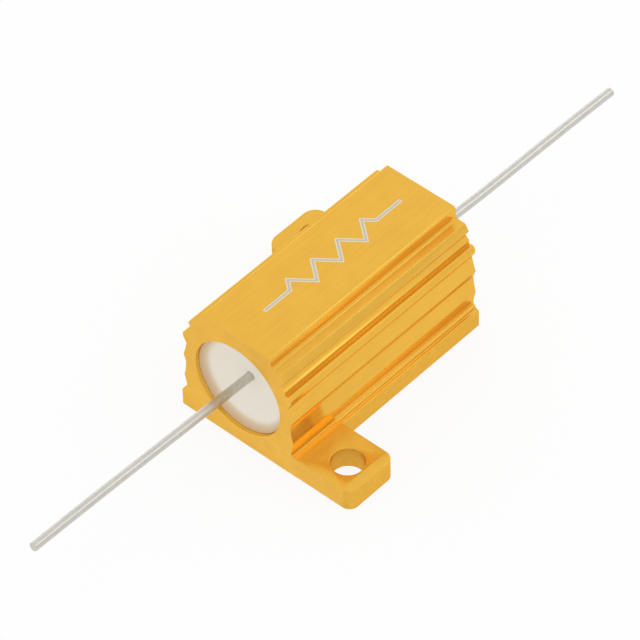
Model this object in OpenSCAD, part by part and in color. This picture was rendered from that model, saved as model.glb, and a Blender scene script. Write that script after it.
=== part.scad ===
// Aluminium housed power resistor, 10 W size, with axial wire leads.
// A wound ceramic element is cast into the bore of a ribbed aluminium extrusion,
// whose flange is cut back to two diagonal mounting feet.
// +X runs along the leads, +Z is up, and the origin is the centre of the mounting face.

/* [Housing] */
// Length of the extruded body along the leads
body_l = 19.05; // [17:0.05:24]
// Width of the body at its base
body_w = 10.7; // [10.2:0.05:12]
// Height of the flat top above the mounting face
body_h = 10.4; // [10:0.05:11.4]
// Radius that the cutter leaves along the top of the cut-back flange
cut_edge_r = 0.4; // [0.1:0.05:0.6]
// Diameter of the bore that holds the element
bore_d = 7.78; // [7:0.02:7.9]
// Height of the bore's axis above the mounting face
axis_h = 5.2; // [4.9:0.05:5.4]

/* [Top plate] */
// Width of the flat top
plate_w = 6.4; // [6:0.05:6.8]
// How far the plate's side slopes out from its top edge to the ledge
plate_flare = 0.17; // [0.05:0.01:0.25]
// Depth of the hollow in the plate's side
plate_hollow = 0.08; // [0.02:0.01:0.12]
// Radius along the plate's top edge
plate_edge_r = 0.2; // [0.05:0.01:0.25]
// Width of the ledge beside the plate
ledge_w = 0.69; // [0.5:0.01:0.8]
// Depth of the shallow flute along the ledge
ledge_hollow = 0.07; // [0.02:0.01:0.12]

/* [Ribs] */
// Width over the tips of the side ribs
rib_span = 10.08; // [9.8:0.02:10.4]
// Height of the lowest rib's tip above the top of the feet
rib_start = 1.38; // [1.25:0.01:1.5]
// Height from one rib tip to the next
rib_pitch = 2.02; // [1.9:0.01:2.1]
// Depth of the flute under each of the two lower ribs
flute_depth = 0.26; // [0.15:0.01:0.35]
// How far the lowest flute's foot stays inside the rib tips
flute_foot_inset = 0.15; // [0.05:0.01:0.2]
// Width of the narrow land left along each crest
crest_land = 0.08; // [0.04:0.01:0.1]

/* [Top side rib] */
// Height of the flat nose on the top side rib
nose_h = 0.34; // [0.1:0.01:0.4]
// How far the nose stays inside the tips of the lower ribs
nose_inset = 0.05; // [0:0.01:0.1]
// Drop from the middle of the nose to the root of the flute under it
root_drop = 0.92; // [0.8:0.01:1.1]
// How far that root stays inside the rib tips
root_inset = 0.38; // [0.3:0.01:0.45]
// Depth of the hollow under the nose, down to the root
nose_undercut = 0.05; // [0.02:0.01:0.1]
// Depth of the shallow flute from the root down to the next rib
root_flute = 0.08; // [0.03:0.01:0.15]

/* [Shoulder rib] */
// Width over the tips of the two shoulder ribs
shoulder_span = 8.82; // [8.7:0.02:9]
// Height of the shoulder rib's tip above the top side rib
shoulder_rise = 1.5; // [1.4:0.01:1.6]
// Height of the ledge above the shoulder rib's tip
ledge_rise = 0.58; // [0.5:0.01:0.65]
// Depth of the flute under the shoulder rib
shoulder_flute = 0.3; // [0.2:0.01:0.35]
// Height of the upper lip above the top side rib
upper_lip_rise = 0.68; // [0.64:0.01:0.8]
// How far the upper lip stays inside the side rib tips
upper_lip_inset = 0.6; // [0.5:0.01:0.65]
// Height of the lower lip above the top side rib
lower_lip_rise = 0.43; // [0.38:0.01:0.48]
// How far the lower lip stays inside the side rib tips
lower_lip_inset = 0.26; // [0.2:0.01:0.32]
// Depth of the narrow groove between the two lips
lip_groove = 0.14; // [0.08:0.01:0.16]

/* [Feet] */
// Width over the two feet
feet_w = 20.4; // [19:0.1:22]
// Thickness of the feet
flange_t = 1.85; // [1.5:0.05:2]
// Length of the front foot along the body
front_foot_l = 4.6; // [4.2:0.05:6]
// Radius of the front foot's outer corners
front_foot_r = 0.75; // [0.5:0.05:1.8]
// Length of the rear foot along the body
rear_foot_l = 5.2; // [4.2:0.05:6]
// Radius of the rear foot's outer corners
rear_foot_r = 1.1; // [0.5:0.05:1.8]
// Diameter of the screw holes
hole_d = 2.45; // [2:0.05:2.8]
// Distance from the end of the body to the middle of the screw hole
hole_from_end = 2.175; // [1.8:0.025:2.5]
// Distance from the tip of the foot to the middle of the screw hole
hole_from_tip = 2.15; // [1.8:0.05:2.5]

/* [Filler] */
// Depth of the dish's rim inside the end of the bore
rim_recess = 0.75; // [0.5:0.05:1]
// Further depth of the dish in the middle of the filler's end
dish_depth = 0.9; // [0.3:0.05:1]
// Height that the filler creeps up the wall of the bore from the dish's rim
creep_h = 0.43; // [0.2:0.01:0.45]
// Thickness of the filler at the top of the creep
creep_edge = 0.04; // [0.02:0.01:0.1]

/* [Element] */
// Diameter of the ceramic core
core_d = 3.6; // [3:0.05:4.2]
// Length of the ceramic core
core_l = 12.6; // [11:0.1:12.8]
// Chamfer round the core's ends
core_chamfer = 0.2; // [0.05:0.05:0.4]
// Wall of the pressed end caps
cap_wall = 0.25; // [0.15:0.05:0.4]
// Length of the cap's skirt along the core
cap_skirt = 1.8; // [1.4:0.1:2.2]
// Diameter of the resistance wire
wire_d = 0.28; // [0.2:0.01:0.32]
// Distance from one turn of wire to the next
wire_pitch = 0.45; // [0.4:0.01:0.6]
// How far the wire's ends run onto the cap skirts
wire_lap = 0.5; // [0.3:0.05:0.8]
// How far the element lies askew in the bore, in degrees
element_lean = 1.2; // [0:0.1:1.6]

/* [Leads] */
// Diameter of the lead wires
lead_d = 0.68; // [0.5:0.02:1]
// Length of the front lead outside the body
front_lead_l = 19.4; // [10:0.1:30]
// Length of the rear lead outside the body
rear_lead_l = 20.1; // [10:0.1:30]
// Diameter of the lead's welded head on the cap
head_d = 1.5; // [1.2:0.1:2]
// Thickness of the lead's welded head
head_t = 0.25; // [0.1:0.05:0.4]
// Chamfer round the cut tip of the lead
tip_chamfer = 0.06; // [0.02:0.01:0.12]

/* [Fits] */
// Clearance between each piece and the next one, for joining and casting
fit = 0.02; // [0.01:0.005:0.05]

/* [Hidden] */
$fn = 64;
rib_count = 3;
wire_sides = 6;
rings_per_turn = 14;
overlap = 1;

// Crests of one side of the extrusion, as [half width, height], from the feet up
tip_y = rib_span / 2;
top_tip_h = flange_t + rib_start + (rib_count - 1) * rib_pitch;
shoulder_h = top_tip_h + shoulder_rise;
ledge_h = shoulder_h + ledge_rise;
ledge_y = plate_w / 2 + plate_flare;
function tip(i) = [tip_y, flange_t + rib_start + i * rib_pitch];
CRESTS = concat(
    [[tip_y - flute_foot_inset, flange_t]],
    [for (i = [0 : rib_count - 2]) tip(i)],
    [
        [tip_y - root_inset, top_tip_h - root_drop],
        [tip_y - nose_inset, top_tip_h - nose_h / 2],
        [tip_y - nose_inset, top_tip_h + nose_h / 2],
        [tip_y - lower_lip_inset, top_tip_h + lower_lip_rise],
        [tip_y - upper_lip_inset, top_tip_h + upper_lip_rise],
        [shoulder_span / 2, shoulder_h],
        [ledge_y + ledge_w, ledge_h],
        [ledge_y, ledge_h],
        [plate_w / 2, body_h - plate_edge_r],
    ]);
// Depth of the hollow from each crest to the next, with 0 for a flat flank
HOLLOWS = concat(
    [for (i = [0 : rib_count - 2]) flute_depth],
    [root_flute, nose_undercut, 0, 0, lip_groove, shoulder_flute, 0, ledge_hollow, plate_hollow]);

// The filler's ends are dished by a sphere, from whose rim a concave fillet climbs the wall
filler_r = bore_d / 2 - fit;
filler_l = body_l - 2 * rim_recess;
dish_rim_r = filler_r - creep_h - creep_edge;
dish_r = (dish_rim_r * dish_rim_r + dish_depth * dish_depth) / (2 * dish_depth);

// The element's radii, and the places of its pieces along the axis
skirt_in_r = core_d / 2 + fit;
cap_r = skirt_in_r + cap_wall;
cap_in_x = core_l / 2 + fit;
cap_out_x = cap_in_x + cap_wall;
skirt_x = cap_in_x - cap_skirt;
head_in_x = cap_out_x + fit;
head_out_x = head_in_x + head_t;

// The wire runs in one layer on the core, then climbs onto each cap's skirt
wire_r = wire_d / 2;
chord = cos(180 / rings_per_turn);
coil_r = (core_d / 2 + fit) / chord + wire_r;
lap_r = (cap_r + fit) / chord + wire_r;
climb_l = 0.8 * wire_pitch;
climb_x = skirt_x - fit - wire_r - climb_l;
coil_x = skirt_x + wire_lap;
coil_turns = 2 * coil_x / wire_pitch;
coil_rings = round(coil_turns * rings_per_turn);

function eased(t) = let (u = min(1, max(0, t))) u * u * (3 - 2 * u);
function wind_r(x) = coil_r + (lap_r - coil_r) * eased((abs(x) - climb_x) / climb_l);
function wire_point(i, j) =
    let (x = coil_x * (2 * i / coil_rings - 1),
         turn = 360 * coil_turns * i / coil_rings,
         side = 360 * j / wire_sides,
         r = wind_r(x) + wire_r * cos(side))
    [x + wire_r * sin(side), r * cos(turn), r * sin(turn)];

// A hollow with a circular floor, cut between two neighbouring crests
module hollow(from, to, depth) {
    along = to - from;
    half = norm(along) / 2 - crest_land / 2;
    r = (half * half + depth * depth) / (2 * depth);
    translate((from + to) / 2)
        rotate(atan2(along[1], along[0]))
            intersection() {
                translate([0, depth - r]) circle(r);
                translate([-half, 0]) square([2 * half, depth]);
            }
}

// One side of the extrusion's section, from its middle out
module half_section() {
    difference() {
        polygon(concat([[0, 0], [tip_y - flute_foot_inset, 0]], CRESTS,
                       [[plate_w / 2 - plate_edge_r, body_h], [0, body_h]]));
        for (i = [0 : len(HOLLOWS) - 1])
            if (HOLLOWS[i] > 0) hollow(CRESTS[i], CRESTS[i + 1], HOLLOWS[i]);
    }
    translate([plate_w / 2 - plate_edge_r, body_h - plate_edge_r]) circle(plate_edge_r);
    square([body_w / 2, flange_t - cut_edge_r]);
    square([body_w / 2 - cut_edge_r, flange_t]);
    translate([body_w / 2 - cut_edge_r, flange_t - cut_edge_r]) circle(cut_edge_r);
}

// One foot, on the side that faces -Y at the front end
module foot(foot_l, foot_r) {
    reach = (feet_w - body_w) / 2 + overlap;
    difference() {
        translate([-body_l / 2, -feet_w / 2]) linear_extrude(flange_t) {
            translate([foot_r, 0]) square([foot_l - 2 * foot_r, reach]);
            translate([0, foot_r]) square([foot_l, reach - foot_r]);
            for (x = [foot_r, foot_l - foot_r]) translate([x, foot_r]) circle(foot_r);
        }
        translate([hole_from_end - body_l / 2, hole_from_tip - feet_w / 2, -overlap])
            cylinder(d = hole_d, h = flange_t + 2 * overlap);
    }
}

module housing() {
    color("goldenrod")
    difference() {
        union() {
            rotate([90, 0, 90]) linear_extrude(body_l, center = true) {
                half_section();
                mirror([1, 0]) half_section();
            }
            foot(front_foot_l, front_foot_r);
            rotate(180) foot(rear_foot_l, rear_foot_r);
        }
        translate([0, 0, axis_h]) rotate([0, 90, 0])
            cylinder(d = bore_d, h = body_l + 2 * overlap, center = true);
    }
}

// Lays a piece turned about Z along the element's own axis in the bore
module on_axis() {
    translate([0, 0, axis_h]) rotate([0, 90, -element_lean]) children();
}

// The space that the element and its leads take in the filler
module element_space() {
    half = [
        [coil_r + wire_r + fit, climb_x - wire_r - fit],
        [lap_r + wire_r + fit, climb_x - wire_r - fit],
        [lap_r + wire_r + fit, coil_x + wire_r + fit],
        [cap_r + fit, coil_x + wire_r + fit],
        [cap_r + fit, cap_out_x + fit],
        [head_d / 2 + fit, cap_out_x + fit],
        [head_d / 2 + fit, head_out_x + fit],
        [lead_d / 2 + fit, head_out_x + fit],
        [lead_d / 2 + fit, body_l / 2],
        [0, body_l / 2],
    ];
    other_half = [for (i = [len(half) - 1 : -1 : 0]) [half[i][0], -half[i][1]]];
    rotate_extrude() polygon(concat(half, other_half));
}

// The ring of filler that climbs the wall of the bore at one end
module creep() {
    rotate_extrude() difference() {
        translate([dish_rim_r, -creep_h]) square([creep_h + creep_edge, 2 * creep_h]);
        translate([dish_rim_r, creep_h]) circle(creep_h);
    }
}

module filler() {
    color("linen")
    difference() {
        translate([0, 0, axis_h]) rotate([0, 90, 0]) {
            difference() {
                cylinder(r = filler_r, h = filler_l, center = true);
                for (end = [-1, 1])
                    translate([0, 0, end * (filler_l / 2 - dish_depth + dish_r)])
                        sphere(dish_r);
            }
            for (end = [0, 1])
                mirror([0, 0, end]) translate([0, 0, filler_l / 2]) creep();
        }
        on_axis() element_space();
    }
}

module ceramic_core() {
    color("white") on_axis()
        rotate_extrude() polygon([
            [0, -core_l / 2],
            [core_d / 2 - core_chamfer, -core_l / 2],
            [core_d / 2, -core_l / 2 + core_chamfer],
            [core_d / 2, core_l / 2 - core_chamfer],
            [core_d / 2 - core_chamfer, core_l / 2],
            [0, core_l / 2],
        ]);
}

// The wire is swept ring by ring along its helix and closed at both ends
module resistance_winding() {
    points = [for (i = [0 : coil_rings], j = [0 : wire_sides - 1]) wire_point(i, j)];
    sides = [for (i = [0 : coil_rings - 1], j = [0 : wire_sides - 1])
        let (a = i * wire_sides + j, b = i * wire_sides + (j + 1) % wire_sides)
        each [[a, a + wire_sides, b + wire_sides], [a, b + wire_sides, b]]];
    start = [for (j = [0 : wire_sides - 1]) j];
    end = [for (j = [wire_sides - 1 : -1 : 0]) coil_rings * wire_sides + j];
    color("lightslategray")
    translate([0, 0, axis_h]) rotate(-element_lean)
        polyhedron(points, concat(sides, [start, end]), convexity = 10);
}

// A pressed cup: its closed end has a corner as round as its wall is thick
module end_cap() {
    rotate_extrude() {
        translate([0, cap_in_x]) square([cap_r - cap_wall, cap_wall]);
        translate([skirt_in_r, skirt_x]) square([cap_wall, cap_skirt]);
        translate([skirt_in_r, cap_in_x]) intersection() {
            circle(cap_wall);
            square(cap_wall);
        }
    }
}

module end_cap_front() color("silver") on_axis() mirror([0, 0, 1]) end_cap();

module end_cap_rear() color("silver") on_axis() end_cap();

// A lead with the head that is welded to its cap, and a cut tip
module lead(lead_l) {
    tip_x = body_l / 2 + lead_l;
    rotate_extrude() polygon([
        [0, head_in_x],
        [head_d / 2, head_in_x],
        [head_d / 2, head_out_x],
        [lead_d / 2, head_out_x],
        [lead_d / 2, tip_x - tip_chamfer],
        [lead_d / 2 - tip_chamfer, tip_x],
        [0, tip_x],
    ]);
}

module lead_front() color("lightgray") on_axis() mirror([0, 0, 1]) lead(front_lead_l);

module lead_rear() color("lightgray") on_axis() lead(rear_lead_l);

housing();
filler();
ceramic_core();
resistance_winding();
end_cap_front();
end_cap_rear();
lead_front();
lead_rear();
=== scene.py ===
import math

import bmesh
import bpy
import numpy as np
from mathutils import Matrix, Vector, geometry


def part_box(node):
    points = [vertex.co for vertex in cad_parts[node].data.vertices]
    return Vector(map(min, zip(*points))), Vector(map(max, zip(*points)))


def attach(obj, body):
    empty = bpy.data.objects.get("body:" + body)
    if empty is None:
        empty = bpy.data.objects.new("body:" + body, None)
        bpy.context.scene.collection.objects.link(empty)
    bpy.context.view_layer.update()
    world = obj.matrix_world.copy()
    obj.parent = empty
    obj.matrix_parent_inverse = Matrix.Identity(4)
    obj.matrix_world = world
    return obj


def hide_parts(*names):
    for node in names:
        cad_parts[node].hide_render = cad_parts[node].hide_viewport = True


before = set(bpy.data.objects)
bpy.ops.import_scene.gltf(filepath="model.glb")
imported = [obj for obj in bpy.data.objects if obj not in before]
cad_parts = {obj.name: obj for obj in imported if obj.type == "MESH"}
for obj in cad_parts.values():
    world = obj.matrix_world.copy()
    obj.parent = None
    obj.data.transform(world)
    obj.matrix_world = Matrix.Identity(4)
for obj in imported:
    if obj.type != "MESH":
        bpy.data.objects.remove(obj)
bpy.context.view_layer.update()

# Studio
# The part stands on a pale table in an even white room, a little darker towards the horizon. A
# long lens looks down on its near end, and two narrow strip lights pick out the edges of the
# ribs and of the top plate.
MM = 0.001
VIEW_AZIMUTH = math.radians(-46.87)
VIEW_ELEVATION = math.radians(46.36)
VIEW_ROLL = math.radians(-1.70)
VIEW_DISTANCE = 345.7 * MM
AIM_RIGHT = -0.843 * MM
AIM_UP = 3.073 * MM
LENS = 278.4
SENSOR_WIDTH = 36
CLIP_NEAR = 0.01
CLIP_FAR = 10
WHITE = (1, 1, 1, 1)
ROOM_LIGHT = 0.97
ROOM_LIGHT_SEEN = 1.0
HORIZON_LIGHT = 0.75
HORIZON_UP_TO = 0.30
FLOOR_HALF = 3.0
FLOOR_DROP = 0.02 * MM
FLOOR_COLOUR = (0.93, 0.93, 0.925, 1.0)
FLOOR_GLOW = 0.88
STRIP_LENGTH = 0.30
STRIP_AIM = Vector((0, 0, 5 * MM))
# The name, height, watts and place of each strip light.
STRIPS = (("side_strip", 0.08, 0.11, (0.252, -0.25, 0.35)),
          ("far_strip", 0.07, 0.08, (0.21, 0.355, 0.085)))


def linked(obj):
    """Puts an object into the scene and returns it."""
    bpy.context.scene.collection.objects.link(obj)
    return obj


def new_tree(owner):
    """Turns on the nodes of a material or world, empties the tree, and returns it."""
    owner.use_nodes = True
    owner.node_tree.nodes.clear()
    return owner.node_tree


def add_node(tree, kind, inputs=None, **settings):
    """Adds a node. settings are its properties, and inputs maps socket names or numbers to a
    value, or to another node's output socket, which is then linked."""
    node = tree.nodes.new(kind)
    for key, value in settings.items():
        setattr(node, key, value)
    for key, value in (inputs or {}).items():
        if isinstance(value, bpy.types.NodeSocket):
            tree.links.new(value, node.inputs[key])
        else:
            node.inputs[key].default_value = value
    return node


def strip_light(name, height, watts, place):
    """A long level rectangle of light at place, turned to face STRIP_AIM."""
    data = bpy.data.lights.new(name, "AREA")
    data.shape = "RECTANGLE"
    data.size = STRIP_LENGTH
    data.size_y = height
    data.energy = watts
    lamp = linked(bpy.data.objects.new(name, data))
    lamp.location = place
    lamp.rotation_euler = (STRIP_AIM - Vector(place)).to_track_quat("-Z", "Y").to_euler()


scene = bpy.context.scene
scene.view_settings.view_transform = "Standard"

back = Vector((math.sin(VIEW_AZIMUTH) * math.cos(VIEW_ELEVATION),
               -math.cos(VIEW_AZIMUTH) * math.cos(VIEW_ELEVATION),
               math.sin(VIEW_ELEVATION)))
level = Vector((math.cos(VIEW_AZIMUTH), math.sin(VIEW_AZIMUTH), 0))
upright = back.cross(level)
right = math.cos(VIEW_ROLL) * level + math.sin(VIEW_ROLL) * upright
up = back.cross(right)
camera = linked(bpy.data.objects.new("camera", bpy.data.cameras.new("camera")))
camera.data.lens = LENS
camera.data.sensor_width = SENSOR_WIDTH
camera.data.clip_start = CLIP_NEAR
camera.data.clip_end = CLIP_FAR
view = Matrix((right, up, back)).transposed().to_4x4()
view.translation = AIM_RIGHT * right + AIM_UP * up + VIEW_DISTANCE * back
camera.matrix_world = view
scene.camera = camera

world = bpy.data.worlds.new("white_room")
scene.world = world
tree = new_tree(world)
light_path = add_node(tree, "ShaderNodeLightPath")
direction = add_node(tree, "ShaderNodeTexCoord").outputs["Generated"]
steepness = add_node(tree, "ShaderNodeSeparateXYZ", {0: direction}).outputs["Z"]
room = add_node(tree, "ShaderNodeMapRange",
                {"Value": steepness, "From Min": 0.0, "From Max": HORIZON_UP_TO,
                 "To Min": HORIZON_LIGHT, "To Max": ROOM_LIGHT}, interpolation_type="SMOOTHSTEP")
strength = add_node(tree, "ShaderNodeMix",
                    {0: light_path.outputs["Is Camera Ray"], 2: room.outputs[0],
                     3: ROOM_LIGHT_SEEN}, data_type="FLOAT")
sky = add_node(tree, "ShaderNodeBackground", {"Color": WHITE, "Strength": strength.outputs[0]})
add_node(tree, "ShaderNodeOutputWorld", {"Surface": sky.outputs[0]})

for strip in STRIPS:
    strip_light(*strip)

floor_mesh = bpy.data.meshes.new("table")
floor_mesh.from_pydata([(-FLOOR_HALF, -FLOOR_HALF, 0), (FLOOR_HALF, -FLOOR_HALF, 0),
                        (FLOOR_HALF, FLOOR_HALF, 0), (-FLOOR_HALF, FLOOR_HALF, 0)],
                       [], [(0, 1, 2, 3)])
floor = linked(bpy.data.objects.new("table", floor_mesh))
floor.location.z = -FLOOR_DROP
table_paint = bpy.data.materials.new("table_paint")
tree = new_tree(table_paint)
matt = add_node(tree, "ShaderNodeBsdfDiffuse", {"Color": FLOOR_COLOUR})
glow = add_node(tree, "ShaderNodeEmission", {"Color": WHITE, "Strength": 1.0})
light_path = add_node(tree, "ShaderNodeLightPath")
seen = add_node(tree, "ShaderNodeMath",
                {0: light_path.outputs["Is Camera Ray"], 1: light_path.outputs["Is Glossy Ray"]},
                operation="MAXIMUM")
share = add_node(tree, "ShaderNodeMath", {0: seen.outputs[0], 1: FLOOR_GLOW},
                 operation="MULTIPLY")
mixed = add_node(tree, "ShaderNodeMixShader",
                 {0: share.outputs[0], 1: matt.outputs[0], 2: glow.outputs[0]})
add_node(tree, "ShaderNodeOutputMaterial", {"Surface": mixed.outputs[0]})
floor_mesh.materials.append(table_paint)

# Housing
# One length of aluminium extrusion, sawn to length, bored for the element and milled back to
# two feet, then etched and anodised gold. The ribs keep fine lines from the extrusion die.
GOLD = (0.85, 0.482, 0.068)
SAWN_GOLD = (0.90, 0.535, 0.095)
MILLED_GOLD = (0.82, 0.465, 0.066)
GOLD_EDGE = (1.0, 0.72, 0.30, 1.0)
GOLD_METAL = 0.75
NOISE_SPAN = (0.3, 0.7)
STREAK_TONE = (0.96, 1.03)
STREAK_GLOSS = (-0.04, 0.05)
SHARP_ANGLE = math.radians(40)
CREST_ROUND = 0.035 * MM
SAWN_EDGE = 0.02 * MM
FOOT_EDGE = 0.06 * MM
EDGE_STEPS = 4
FRONT_CORNER = 0.75 * MM
REAR_CORNER = 1.1 * MM
CORNER_STEPS = 17
HOLE_RADIUS = 1.225 * MM
HOLE_AROUND = 96
HOLE_FROM_END = 2.175 * MM
HOLE_FROM_TIP = 2.15 * MM
FOOT_ROOT = 0.6 * MM
FOOT_MARGIN = 0.1 * MM
JOIN_STEP = 0.004 * MM
ROW_STEPS = 40
LOOP_STEP = 0.01 * MM
TURN_STEP = math.radians(2.5)
CASTING_GAP = 0.02 * MM
BORE_AROUND = 256
SAWN_FACING = 0.99
MILLED_FROM = 5.06 * MM
LEVEL_FACING = 0.9
# One side of the section from the mounting face up, in millimetres: half width, height, and
# the depth of the hollow between this row and the next (less than 0 where it bulges).
SECTION = np.array([
    (5.35, 0.00, 0), (5.35, 1.49, 0), (5.26, 1.58, 0.01), (5.07, 1.60, 0), (5.03, 1.81, 0),
    (4.95, 1.86, 0), (4.87, 1.87, 0), (4.83, 2.15, 0), (5.04, 3.23, 0.04), (4.83, 4.60, 0.02),
    (5.04, 5.25, 0.03), (4.69, 6.53, 0), (4.97, 7.05, 0), (4.99, 7.42, 0), (4.78, 7.69, 0),
    (4.43, 7.62, 0), (4.46, 7.95, 0.02), (4.12, 8.28, 0), (4.41, 8.77, 0), (4.06, 9.35, 0.02),
    (3.38, 9.38, 0.015), (3.25, 9.62, 0), (3.20, 10.20, -0.0586), (3.00, 10.40, 0)])
low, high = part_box("housing")
filler_low, filler_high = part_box("filler")
body_side = SECTION[0, 0] * MM
bore_axis = (filler_low.z + filler_high.z) / 2
filler_radius = (filler_high.z - filler_low.z) / 2
bore_radius = filler_radius + CASTING_GAP


def noise(tree, place, grain, detail, fineness):
    """Noise at place, a vector socket, with grain lumps to a millimetre. detail is how many
    times finer lumps are added, and fineness how strong each next one is."""
    return add_node(tree, "ShaderNodeTexNoise",
                    {"Vector": place, "Scale": grain / MM, "Detail": detail,
                     "Roughness": fineness}).outputs["Fac"]


def spread_out(tree, value, start, end):
    """Stretches noise so that NOISE_SPAN, where most of its values lie, runs start to end."""
    return add_node(tree, "ShaderNodeMapRange",
                    {"Value": value, "From Min": NOISE_SPAN[0], "From Max": NOISE_SPAN[1],
                     "To Min": start, "To Max": end}).outputs[0]


def toned(tree, share, colour, spread):
    """Colour that runs from 1 - spread to 1 + spread times colour as share runs from 0 to 1."""
    darker = tuple(c * (1 - spread) for c in colour) + (1,)
    lighter = tuple(min(1.0, c * (1 + spread)) for c in colour) + (1,)
    return add_node(tree, "ShaderNodeMix", {0: share, 6: darker, 7: lighter},
                    data_type="RGBA").outputs[2]


def add_surface(tree, colour, metallic, gloss, height, depth):
    """Ends a material's tree with its surface, whose relief is height times depth, and returns
    the surface's node."""
    relief = add_node(tree, "ShaderNodeBump",
                      {"Height": height, "Strength": 1.0, "Distance": depth})
    surface = add_node(tree, "ShaderNodeBsdfPrincipled",
                       {"Base Color": colour, "Metallic": metallic, "Roughness": gloss,
                        "Normal": relief.outputs[0]})
    add_node(tree, "ShaderNodeOutputMaterial", {"Surface": surface.outputs[0]})
    return surface


def gold_finish(name, colour, roughness, stretch, grain, depth, patches, mottle):
    """Gold anodised aluminium. Noise drawn out along the piece by stretch gives the tool's fine
    lines, grain is how many lines there are to a millimetre, and depth how deep they are. The
    tone wanders by the fraction mottle either way, with so many patches to a millimetre."""
    material = bpy.data.materials.new(name)
    tree = new_tree(material)
    place = add_node(tree, "ShaderNodeTexCoord").outputs["Object"]
    drawn_out = add_node(tree, "ShaderNodeMapping", {"Vector": place, "Scale": stretch})
    lines = noise(tree, drawn_out.outputs[0], grain, detail=4.0, fineness=0.6)
    cloud = noise(tree, place, patches, detail=3.0, fineness=0.5)
    streaked = add_node(tree, "ShaderNodeVectorMath",
                        {0: toned(tree, spread_out(tree, cloud, 0, 1), colour, mottle),
                         3: spread_out(tree, lines, *STREAK_TONE)}, operation="SCALE")
    gloss = spread_out(tree, lines, *(roughness + step for step in STREAK_GLOSS))
    surface = add_surface(tree, streaked.outputs[0], GOLD_METAL, gloss, lines, depth)
    surface.inputs["Specular Tint"].default_value = GOLD_EDGE
    return material


def softened(loop, softness):
    """A closed loop cut into even steps of LOOP_STEP, its corners rounded by a Gaussian of
    softness along it: each wave of frequency f is scaled by exp(-2 (pi f softness)^2). Points
    are then kept where the loop has turned by a further TURN_STEP, so straight runs have none."""
    step = np.linalg.norm(np.roll(loop, -1, axis=0) - loop, axis=1)
    run = np.concatenate([[0], np.cumsum(step)])
    closed = np.vstack([loop, loop[:1]])
    count = int(run[-1] / LOOP_STEP)
    even = np.linspace(0, run[-1], count, endpoint=False)
    points = np.stack([np.interp(even, run, closed[:, i]) for i in (0, 1)], axis=1)
    wave = np.fft.fftfreq(count, run[-1] / count)[:, None]
    fade = np.exp(-2 * (np.pi * wave * softness) ** 2)
    points = np.fft.ifft(np.fft.fft(points, axis=0) * fade, axis=0).real
    along = np.roll(points, -1, axis=0) - points
    heading = np.unwrap(np.arctan2(along[:, 1], along[:, 0]))
    turned = np.cumsum(np.abs(np.diff(heading, prepend=heading[-1] - 2 * np.pi)))
    return points[np.flatnonzero(np.diff(np.floor(turned / TURN_STEP), prepend=-1))]


def section_loop():
    """The closed outline of the extrusion as [y, z] rows, anticlockwise: SECTION up one side,
    each step to the next row bowed in by its hollow h along a parabola 4 h t (1 - t), and then
    the mirror of it down the other side."""
    start, end = SECTION[:-1, :2], SECTION[1:, :2]
    along = end - start
    left = np.stack([-along[:, 1], along[:, 0]], axis=1)
    left /= np.linalg.norm(left, axis=1, keepdims=True)
    t = np.linspace(0, 1, ROW_STEPS, endpoint=False)[:, None, None]
    bowed = start + t * along + 4 * t * (1 - t) * SECTION[:-1, 2:] * left
    side = np.vstack([bowed.transpose(1, 0, 2).reshape(-1, 2), SECTION[-1:, :2]])
    return np.concatenate([side, side[::-1] * (-1, 1)]) * MM


def foot_loop(start, end, tip, corner):
    """The closed outline of a foot as [x, y] rows, anticlockwise: a rectangle from start to end
    and from inside the body out to tip, its outer corners quarter circles of radius corner."""
    turn = np.linspace(0, np.pi / 2, CORNER_STEPS)
    last = np.stack([end - corner * (1 - np.cos(turn)), tip - corner * (1 - np.sin(turn))], axis=1)
    first = np.stack([start + corner * (1 - np.sin(turn)), tip - corner * (1 - np.cos(turn))],
                     axis=1)
    root = body_side - FOOT_ROOT
    return np.concatenate([[(end, root)], last, first, [(start, root)]])


def circle(centre, radius, count):
    """A circle of count points, anticlockwise, as [a, b] rows: centre + radius (cos, sin)."""
    turn = np.linspace(0, 2 * np.pi, count, endpoint=False)
    return np.stack([centre[0] + radius * np.cos(turn), centre[1] + radius * np.sin(turn)], axis=1)


def inward(loop):
    """Unit normals that point into an anticlockwise closed loop: its tangent, turned left."""
    tangent = np.roll(loop, -1, axis=0) - np.roll(loop, 1, axis=0)
    normal = np.stack([-tangent[:, 1], tangent[:, 0]], axis=1)
    return normal / np.linalg.norm(normal, axis=1, keepdims=True)


def pierced_walls(outline, hole, start, end, radius):
    """The walls of an outline and of a hole in it, carried from start to end, as rings of
    [a, b, place] rows. The edges at both ends are quarter circles of the given radius: the
    place moves on by radius (1 - cos) while the wall stands back by radius (1 - sin)."""
    turn = np.linspace(0, np.pi / 2, EDGE_STEPS)
    along = radius * (1 - np.cos(turn))
    back_by = radius * (1 - np.sin(turn))
    at = np.concatenate([start + along, end - along[::-1]])
    inset = np.concatenate([back_by, back_by[::-1]])
    walls = []
    for loop, way in ((outline, 1), (hole, -1)):
        flat = loop + way * inset[:, None, None] * inward(loop)
        walls.append(np.dstack([flat, np.broadcast_to(at[:, None], flat.shape[:2])]))
    return walls


def band(rings, around, first=0):
    """Corner numbers of the four-sided faces between each closed ring of points and the next."""
    start = first + around * np.arange(rings - 1)[:, None]
    here = np.arange(around)
    there = (here + 1) % around
    return np.stack([start + here, start + there, start + around + there, start + around + here],
                    axis=-1).reshape(-1, 4).tolist()


def turn_outward(mesh):
    """Turns the faces of a closed mesh to point outward."""
    work = bmesh.new()
    work.from_mesh(mesh)
    bmesh.ops.recalc_face_normals(work, faces=work.faces)
    work.to_mesh(mesh)
    work.free()


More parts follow.
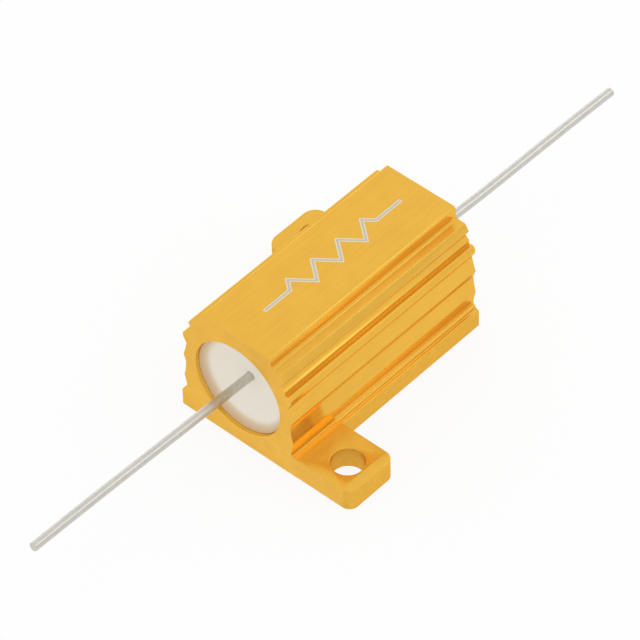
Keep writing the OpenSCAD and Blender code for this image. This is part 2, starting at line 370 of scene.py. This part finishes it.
def pierced_solid(name, outside, hole):
    """A closed solid between an outside wall and a hole's wall, each given as rings of points
    from one end to the other. Flat faces join the first rings and the last rings."""
    rings, around, _ = outside.shape
    hole_rings, hole_around, _ = hole.shape
    points = np.concatenate([outside.reshape(-1, 3), hole.reshape(-1, 3)])
    faces = band(rings, around) + band(hole_rings, hole_around, rings * around)
    smooth = len(faces)
    for ring in (0, -1):
        numbers = np.concatenate([
            np.arange(around) + (ring % rings) * around,
            np.arange(hole_around) + rings * around + (ring % hole_rings) * hole_around])
        flat = geometry.tessellate_polygon([[Vector(p) for p in outside[ring]],
                                            [Vector(p) for p in hole[ring]]])
        faces += [[int(numbers[i]) for i in three] for three in flat]
    mesh = bpy.data.meshes.new(name)
    mesh.from_pydata(points.tolist(), [], faces)
    mesh.polygons.foreach_set("use_smooth", np.arange(len(faces)) < smooth)
    turn_outward(mesh)
    return linked(bpy.data.objects.new(name, mesh))


def body_solid():
    """The sawn and bored length of extrusion, a section carried along X."""
    loop = softened(section_loop(), CREST_ROUND)
    bore = circle((0, bore_axis), bore_radius, BORE_AROUND)
    walls = pierced_walls(loop, bore, low.x, high.x, SAWN_EDGE)
    return pierced_solid("ribbed_housing", *(np.roll(wall, 1, axis=2) for wall in walls))


def foot_solid(name, side, corner):
    """A foot left from the flange on one side of the body, a pierced outline carried up Z. Its
    ends, tip and thickness are those of the CAD foot, and JOIN_STEP keeps its flat faces off
    the body's where the two are joined."""
    corners = np.array([v.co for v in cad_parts["housing"].data.vertices])
    foot = corners[side * corners[:, 1] > body_side + FOOT_MARGIN]
    start, _, _ = foot.min(axis=0) + JOIN_STEP
    end, _, thickness = foot.max(axis=0) - JOIN_STEP
    tip = np.abs(foot[:, 1]).max()
    sawn_end = low.x if side < 0 else high.x
    hole = circle((sawn_end - side * HOLE_FROM_END, tip - HOLE_FROM_TIP), HOLE_RADIUS, HOLE_AROUND)
    walls = pierced_walls(foot_loop(start, end, tip, corner), hole, JOIN_STEP, thickness, FOOT_EDGE)
    return pierced_solid(name, *(wall * (1, side, 1) for wall in walls))


def face_vectors(mesh, key):
    """One vector value of each face as [x, y, z] rows, with every sign taken off."""
    values = np.empty(3 * len(mesh.polygons), np.float32)
    mesh.polygons.foreach_get(key, values)
    return np.abs(values.reshape(-1, 3))


housing = body_solid()
for name, side, corner in (("front_foot", -1, FRONT_CORNER), ("rear_foot", 1, REAR_CORNER)):
    join = housing.modifiers.new(name, "BOOLEAN")
    join.operation = "UNION"
    join.solver = "EXACT"
    join.object = foot_solid(name, side, corner)
bpy.context.view_layer.update()
joined = bpy.data.meshes.new_from_object(
    housing.evaluated_get(bpy.context.evaluated_depsgraph_get()))
for join in list(housing.modifiers):
    bpy.data.objects.remove(join.object)
    housing.modifiers.remove(join)
housing.data = joined
joined.set_sharp_from_angle(angle=SHARP_ANGLE)
joined.materials.clear()
joined.materials.append(
    gold_finish("gold_extruded", GOLD, roughness=0.20, stretch=(0.03, 1, 1), grain=7.0,
                depth=0.0002 * MM, patches=0.5, mottle=0.025))
joined.materials.append(
    gold_finish("gold_sawn", SAWN_GOLD, roughness=0.50, stretch=(1, 0.08, 1), grain=5.0,
                depth=0.002 * MM, patches=0.8, mottle=0.04))
joined.materials.append(
    gold_finish("gold_milled", MILLED_GOLD, roughness=0.42, stretch=(0.6, 1, 1), grain=2.4,
                depth=0.016 * MM, patches=2.4, mottle=0.05))
facing = face_vectors(joined, "normal")
sawn = facing[:, 0] > SAWN_FACING
milled = (face_vectors(joined, "center")[:, 1] > MILLED_FROM) & (facing[:, 2] < LEVEL_FACING)
joined.polygons.foreach_set("material_index",
                            np.select([sawn, milled], [1, 2], 0).astype(np.int32))
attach(housing, "root")
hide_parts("housing")

# Element inside
# A ceramic rod wound with one layer of resistance wire, with a pressed steel cap on each end.
# It is hidden by the filler.
CERAMIC = (0.82, 0.80, 0.75)
RESISTANCE_ALLOY = (0.42, 0.41, 0.39)
CAP_STEEL = (0.66, 0.65, 0.62)
GLOSS_SPREAD = 0.05


def plain_finish(name, colour, metallic, roughness, grain, depth, spread):
    """A finish whose colour, gloss and relief follow one noise of grain lumps to a millimetre.
    spread is how far the colour goes either side of colour."""
    material = bpy.data.materials.new(name)
    tree = new_tree(material)
    place = add_node(tree, "ShaderNodeTexCoord").outputs["Object"]
    lumps = noise(tree, place, grain, detail=5.0, fineness=0.55)
    gloss = spread_out(tree, lumps, roughness - GLOSS_SPREAD, roughness + GLOSS_SPREAD)
    add_surface(tree, toned(tree, lumps, colour, spread), metallic, gloss, lumps, depth)
    return material


def dress(node_name, material):
    """Gives a CAD node that stays its finished material."""
    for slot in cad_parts[node_name].material_slots:
        slot.material = material


dress("ceramic_core", plain_finish("fired_ceramic", CERAMIC, metallic=0.0, roughness=0.6,
                                   grain=6, depth=0.004 * MM, spread=0.06))
dress("resistance_winding", plain_finish("resistance_alloy", RESISTANCE_ALLOY, metallic=1.0,
                                         roughness=0.35, grain=12, depth=0.001 * MM, spread=0.10))
cap_steel = plain_finish("pressed_cap_steel", CAP_STEEL, metallic=1.0, roughness=0.32,
                         grain=4, depth=0.002 * MM, spread=0.06)
for name in ("end_cap_front", "end_cap_rear"):
    dress(name, cap_steel)

# Filler
# The bore is filled round the element with a pale mineral compound. It shrinks as it sets, so
# each end is a smooth dish, and it creeps a little way up the lead and the wall of the bore.
COMPOUND = (0.93, 0.895, 0.80)
# Painted shade and painted gold reflection near the bore wall: the compound's colour is multiplied
# towards this warm grey at the wall.
RIM_PAINTED_SHADE = (0.77, 0.585, 0.385, 1.0)
RIM_WIDTH = 0.78 * MM
DISH_DEPTH = 0.90 * MM
WALL_CREEP = 0.43 * MM
CREEP_EDGE = 0.04 * MM
LEAD_CREEP = 0.12 * MM
LEAD_CREEP_WIDTH = 0.20 * MM
LEAN = math.radians(1.2)
LEAD_RADIUS = 0.34 * MM
LEAD_GAP = 0.01 * MM
ELEMENT_RADIUS = 2.45 * MM
ELEMENT_HALF = 6.7 * MM
RIPPLE = 0.012 * MM
RIPPLE_WAVES = 3
RIPPLE_TURN = 0.7
CREEP_STEPS = 14
DISH_STEPS = 64
FILLER_AROUND = 128


def closed_solid(name, points, faces):
    """A smooth-shaded object with its faces turned outward and its sharp edges kept crisp."""
    mesh = bpy.data.meshes.new(name)
    mesh.from_pydata(points.tolist(), [], faces)
    turn_outward(mesh)
    mesh.polygons.foreach_set("use_smooth", np.ones(len(faces), bool))
    mesh.set_sharp_from_angle(angle=SHARP_ANGLE)
    return linked(bpy.data.objects.new(name, mesh))


def filler_solid():
    """A turned ring with its loop of [x, r] rows run out along the bore wall, down one dished
    end, back through the space for the element, and up the other end. An end comes down the
    wall on a quarter circle to its rim, then stands at x = rim - depth (1 - (r / rim r)^2), with
    creep exp(-gap / width) added round the lead. The rings are shifted in Y by -x tan(lean)
    near the axis, fading out towards the wall. An end also stands out by
    ripple sin(waves angle + turn) sin(pi r / wall r)."""
    rim_x = filler_high.x - WALL_CREEP
    rim_r = filler_radius - WALL_CREEP - CREEP_EDGE
    fall = np.linspace(np.pi / 2, 0, CREEP_STEPS)
    r = np.linspace(rim_r, LEAD_RADIUS + LEAD_GAP, DISH_STEPS)[1:]
    x = (rim_x - DISH_DEPTH * (1 - (r / rim_r) ** 2)
         + LEAD_CREEP * np.exp(-(r - r[-1]) / LEAD_CREEP_WIDTH))
    half = np.concatenate([[(filler_high.x, filler_radius)],
                           np.stack([rim_x + WALL_CREEP * (1 - np.cos(fall)),
                                     rim_r + WALL_CREEP * np.sin(fall)], axis=1),
                           np.stack([x, r], axis=1),
                           [(ELEMENT_HALF, r[-1]), (ELEMENT_HALF, ELEMENT_RADIUS)]])
    loop = np.concatenate([half, half[::-1] * (-1, 1)])
    along, out = loop[:, :1], loop[:, 1:]
    turn = np.linspace(0, 2 * np.pi, FILLER_AROUND, endpoint=False)
    shift = -along * np.tan(LEAN) * (1 - (out / filler_radius) ** 2)
    ripple = (RIPPLE * np.sin(RIPPLE_WAVES * turn + RIPPLE_TURN)
              * np.sin(np.pi * out / filler_radius))
    points = np.stack([along + ripple * np.sign(along), shift + out * np.cos(turn),
                       bore_axis + out * np.sin(turn)], axis=-1)
    faces = np.array(band(len(loop) + 1, FILLER_AROUND)) % (len(loop) * FILLER_AROUND)
    return closed_solid("cast_filler", points.reshape(-1, 3), faces.tolist())


def painted_rim_shade(material):
    """Painted shade and a painted reflection of the gold bore wall, on the compound where it rises
    up the wall. Its colour is multiplied by the rim shade colour at the wall, which fades out over
    RIM_WIDTH towards the lead."""
    tree = material.node_tree
    surface = next(node for node in tree.nodes if node.type == "BSDF_PRINCIPLED")
    colour = surface.inputs["Base Color"]
    place = add_node(tree, "ShaderNodeTexCoord").outputs["Object"]
    spoke = add_node(tree, "ShaderNodeVectorMath",
                     {0: place, 1: (0, 1, 1), 2: (0, 0, -bore_axis)}, operation="MULTIPLY_ADD")
    radius = add_node(tree, "ShaderNodeVectorMath", {0: spoke.outputs[0]}, operation="LENGTH")
    near = add_node(tree, "ShaderNodeMapRange",
                    {"Value": radius.outputs["Value"], "From Min": bore_radius - RIM_WIDTH,
                     "From Max": bore_radius}, interpolation_type="SMOOTHSTEP")
    rim_shaded = add_node(tree, "ShaderNodeMix",
                      {0: near.outputs[0], 6: colour.links[0].from_socket, 7: RIM_PAINTED_SHADE},
                      data_type="RGBA", blend_type="MULTIPLY")
    tree.links.new(rim_shaded.outputs[2], colour)
    return material


filler = filler_solid()
filler.data.materials.append(painted_rim_shade(
    plain_finish("moulded_compound", COMPOUND, metallic=0.0, roughness=0.45, grain=0.8,
                 depth=0.01 * MM, spread=0.03)))
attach(filler, "root")
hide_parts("filler")

# Leads
# Tinned copper wire with a head welded to each end cap, drawn not quite straight, and cut to
# length, which leaves a small sloped edge round the tip.
TIN = (0.61, 0.595, 0.545)
HEAD = 0.25 * MM
TIP_EDGE = 0.05 * MM
EASE_LENGTH = 9 * MM
RISE = 0.035 * MM
RISE_LENGTH = 3.1 * MM
SWAY = 0.7 * RISE
SWAY_LENGTH = 4.3 * MM
SWELL = 0.012
SWELL_LENGTH = 1.7 * MM
WIRE_STEPS = 160
WIRE_AROUND = 48


def lead_solid(name, node_name, side):
    """A round wire along the element's own axis. At s from the body's middle it stands off that
    axis by RISE sin(s / RISE_LENGTH) in Z and SWAY sin(s / SWAY_LENGTH + 1) in the level, both
    eased in over EASE_LENGTH, and its radius swells by SWELL sin(s / SWELL_LENGTH) of itself."""
    box_low, box_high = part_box(node_name)
    inner, outer = sorted((abs(box_low.x), abs(box_high.x)))
    head_radius = (box_high.z - box_low.z) / 2
    s = np.concatenate([[inner, inner + HEAD],
                        np.linspace(inner + HEAD, outer - TIP_EDGE, WIRE_STEPS), [outer]])
    radius = np.full(len(s), LEAD_RADIUS)
    radius[2:-1] *= 1 + SWELL * np.sin(s[2:-1] / SWELL_LENGTH)
    radius[:2] = head_radius
    radius[-1] -= TIP_EDGE
    ease = np.clip((s - inner) / EASE_LENGTH, 0, 1) ** 2
    sway = -np.tan(LEAN) * s + SWAY * ease * np.sin(s / SWAY_LENGTH + 1)
    rise = RISE * ease * np.sin(s / RISE_LENGTH)
    turn = np.linspace(0, 2 * np.pi, WIRE_AROUND, endpoint=False)
    ring = radius[:, None]
    points = np.stack([side * np.broadcast_to(s[:, None], (len(s), WIRE_AROUND)),
                       side * sway[:, None] + ring * np.cos(turn),
                       bore_axis + rise[:, None] + ring * np.sin(turn)], axis=-1)
    middles = points[[0, -1]].mean(axis=1)
    here = np.arange(WIRE_AROUND)
    there = (here + 1) % WIRE_AROUND
    last = (len(s) - 1) * WIRE_AROUND
    middle = np.full(WIRE_AROUND, len(s) * WIRE_AROUND)
    faces = (band(len(s), WIRE_AROUND) + np.stack([there, here, middle], axis=1).tolist()
             + np.stack([last + here, last + there, middle + 1], axis=1).tolist())
    return closed_solid(name, np.concatenate([points.reshape(-1, 3), middles]), faces)


tinned_wire = plain_finish("tinned_wire", TIN, metallic=1.0, roughness=0.32, grain=3,
                           depth=0.010 * MM, spread=0.16)
for name, node_name, side in (("front_wire", "lead_front", -1), ("rear_wire", "lead_rear", 1)):
    wire = lead_solid(name, node_name, side)
    wire.data.materials.append(tinned_wire)
    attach(wire, "root")
    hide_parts(node_name)

# Marking
# A plain zigzag resistor sign printed along the top plate in pale ink, its stroke drawn as two
# fine lines with a greyed band between them.
PALE_INK = (0.76, 0.70, 0.62)
GREYED_INK = (0.56, 0.51, 0.37)
SIGN_START = -6.45 * MM
SIGN_END = 7.50 * MM
SIGN_Y = 0.10 * MM
ZIGZAG_START = -3.9 * MM
ZIGZAG_END = 4.95 * MM
ZIGZAG_HEIGHT = 0.80 * MM
TEETH = 7
STROKE = 0.23 * MM
STROKE_ROUND = 0.06 * MM
LINE = 0.08 * MM
INK = 0.006 * MM


def sign_path():
    """The middle line of the sign as [x, y] rows: level, then TEETH teeth at even steps that
    point up and down by turns, then level."""
    turns = ZIGZAG_START + (ZIGZAG_END - ZIGZAG_START) * (np.arange(TEETH) + 0.5) / TEETH
    teeth = np.stack([turns, ZIGZAG_HEIGHT * (-1.0) ** np.arange(TEETH)], axis=1)
    ends = [(SIGN_START, 0), (ZIGZAG_START, 0)], [(ZIGZAG_END, 0), (SIGN_END, 0)]
    return np.concatenate([ends[0], teeth, ends[1]]) + (0, SIGN_Y)


def beside(path, distance):
    """An open path moved to its left by distance, with mitred corners: each corner moves along
    the mean of its two normals by distance over the cosine of half the turn."""
    along = np.diff(path, axis=0)
    normal = np.stack([-along[:, 1], along[:, 0]], axis=1)
    normal /= np.linalg.norm(normal, axis=1, keepdims=True)
    both = np.vstack([normal[:1], normal]) + np.vstack([normal, normal[-1:]])
    return path + distance * 2 * both / np.sum(both * both, axis=1, keepdims=True)


def ink_line(name, loop):
    """A closed flat line along a closed loop, its section a rectangle whose four corners stand
    half of LINE either side and from INK below the plate's top to INK above it."""
    across = inward(loop) * LINE / 2
    points = np.stack([np.column_stack([loop + way * across, np.full(len(loop), high.z + ink)])
                       for way, ink in ((-1, -INK), (-1, INK), (1, INK), (1, -INK))], axis=1)
    faces = np.array(band(len(loop) + 1, 4)) % (4 * len(loop))
    return closed_solid(name, points.reshape(-1, 3), faces.tolist())


def ink_band(name, loop):
    """A thin closed slab that fills a closed loop, from INK below the plate's top to half INK
    above it."""
    count = len(loop)
    points = np.concatenate([np.column_stack([loop, np.full(count, high.z + ink)])
                             for ink in (-INK, INK / 2)])
    ends = [list(range(count)), list(range(count, 2 * count))]
    return closed_solid(name, points, band(2, count) + ends)


middle_line = sign_path()
outline = softened(np.concatenate([beside(middle_line, -STROKE / 2),
                                   beside(middle_line, STROKE / 2)[::-1]]), STROKE_ROUND)
sign = ink_line("printed_sign", outline)
sign.data.materials.append(
    plain_finish("pale_ink", PALE_INK, metallic=0.0, roughness=0.5, grain=9,
                 depth=0.002 * MM, spread=0.08))
greyed = ink_band("printed_band", outline)
greyed.data.materials.append(
    plain_finish("greyed_ink", GREYED_INK, metallic=0.0, roughness=0.5, grain=9,
                 depth=0.002 * MM, spread=0.10))
for piece in (sign, greyed):
    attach(piece, "root")
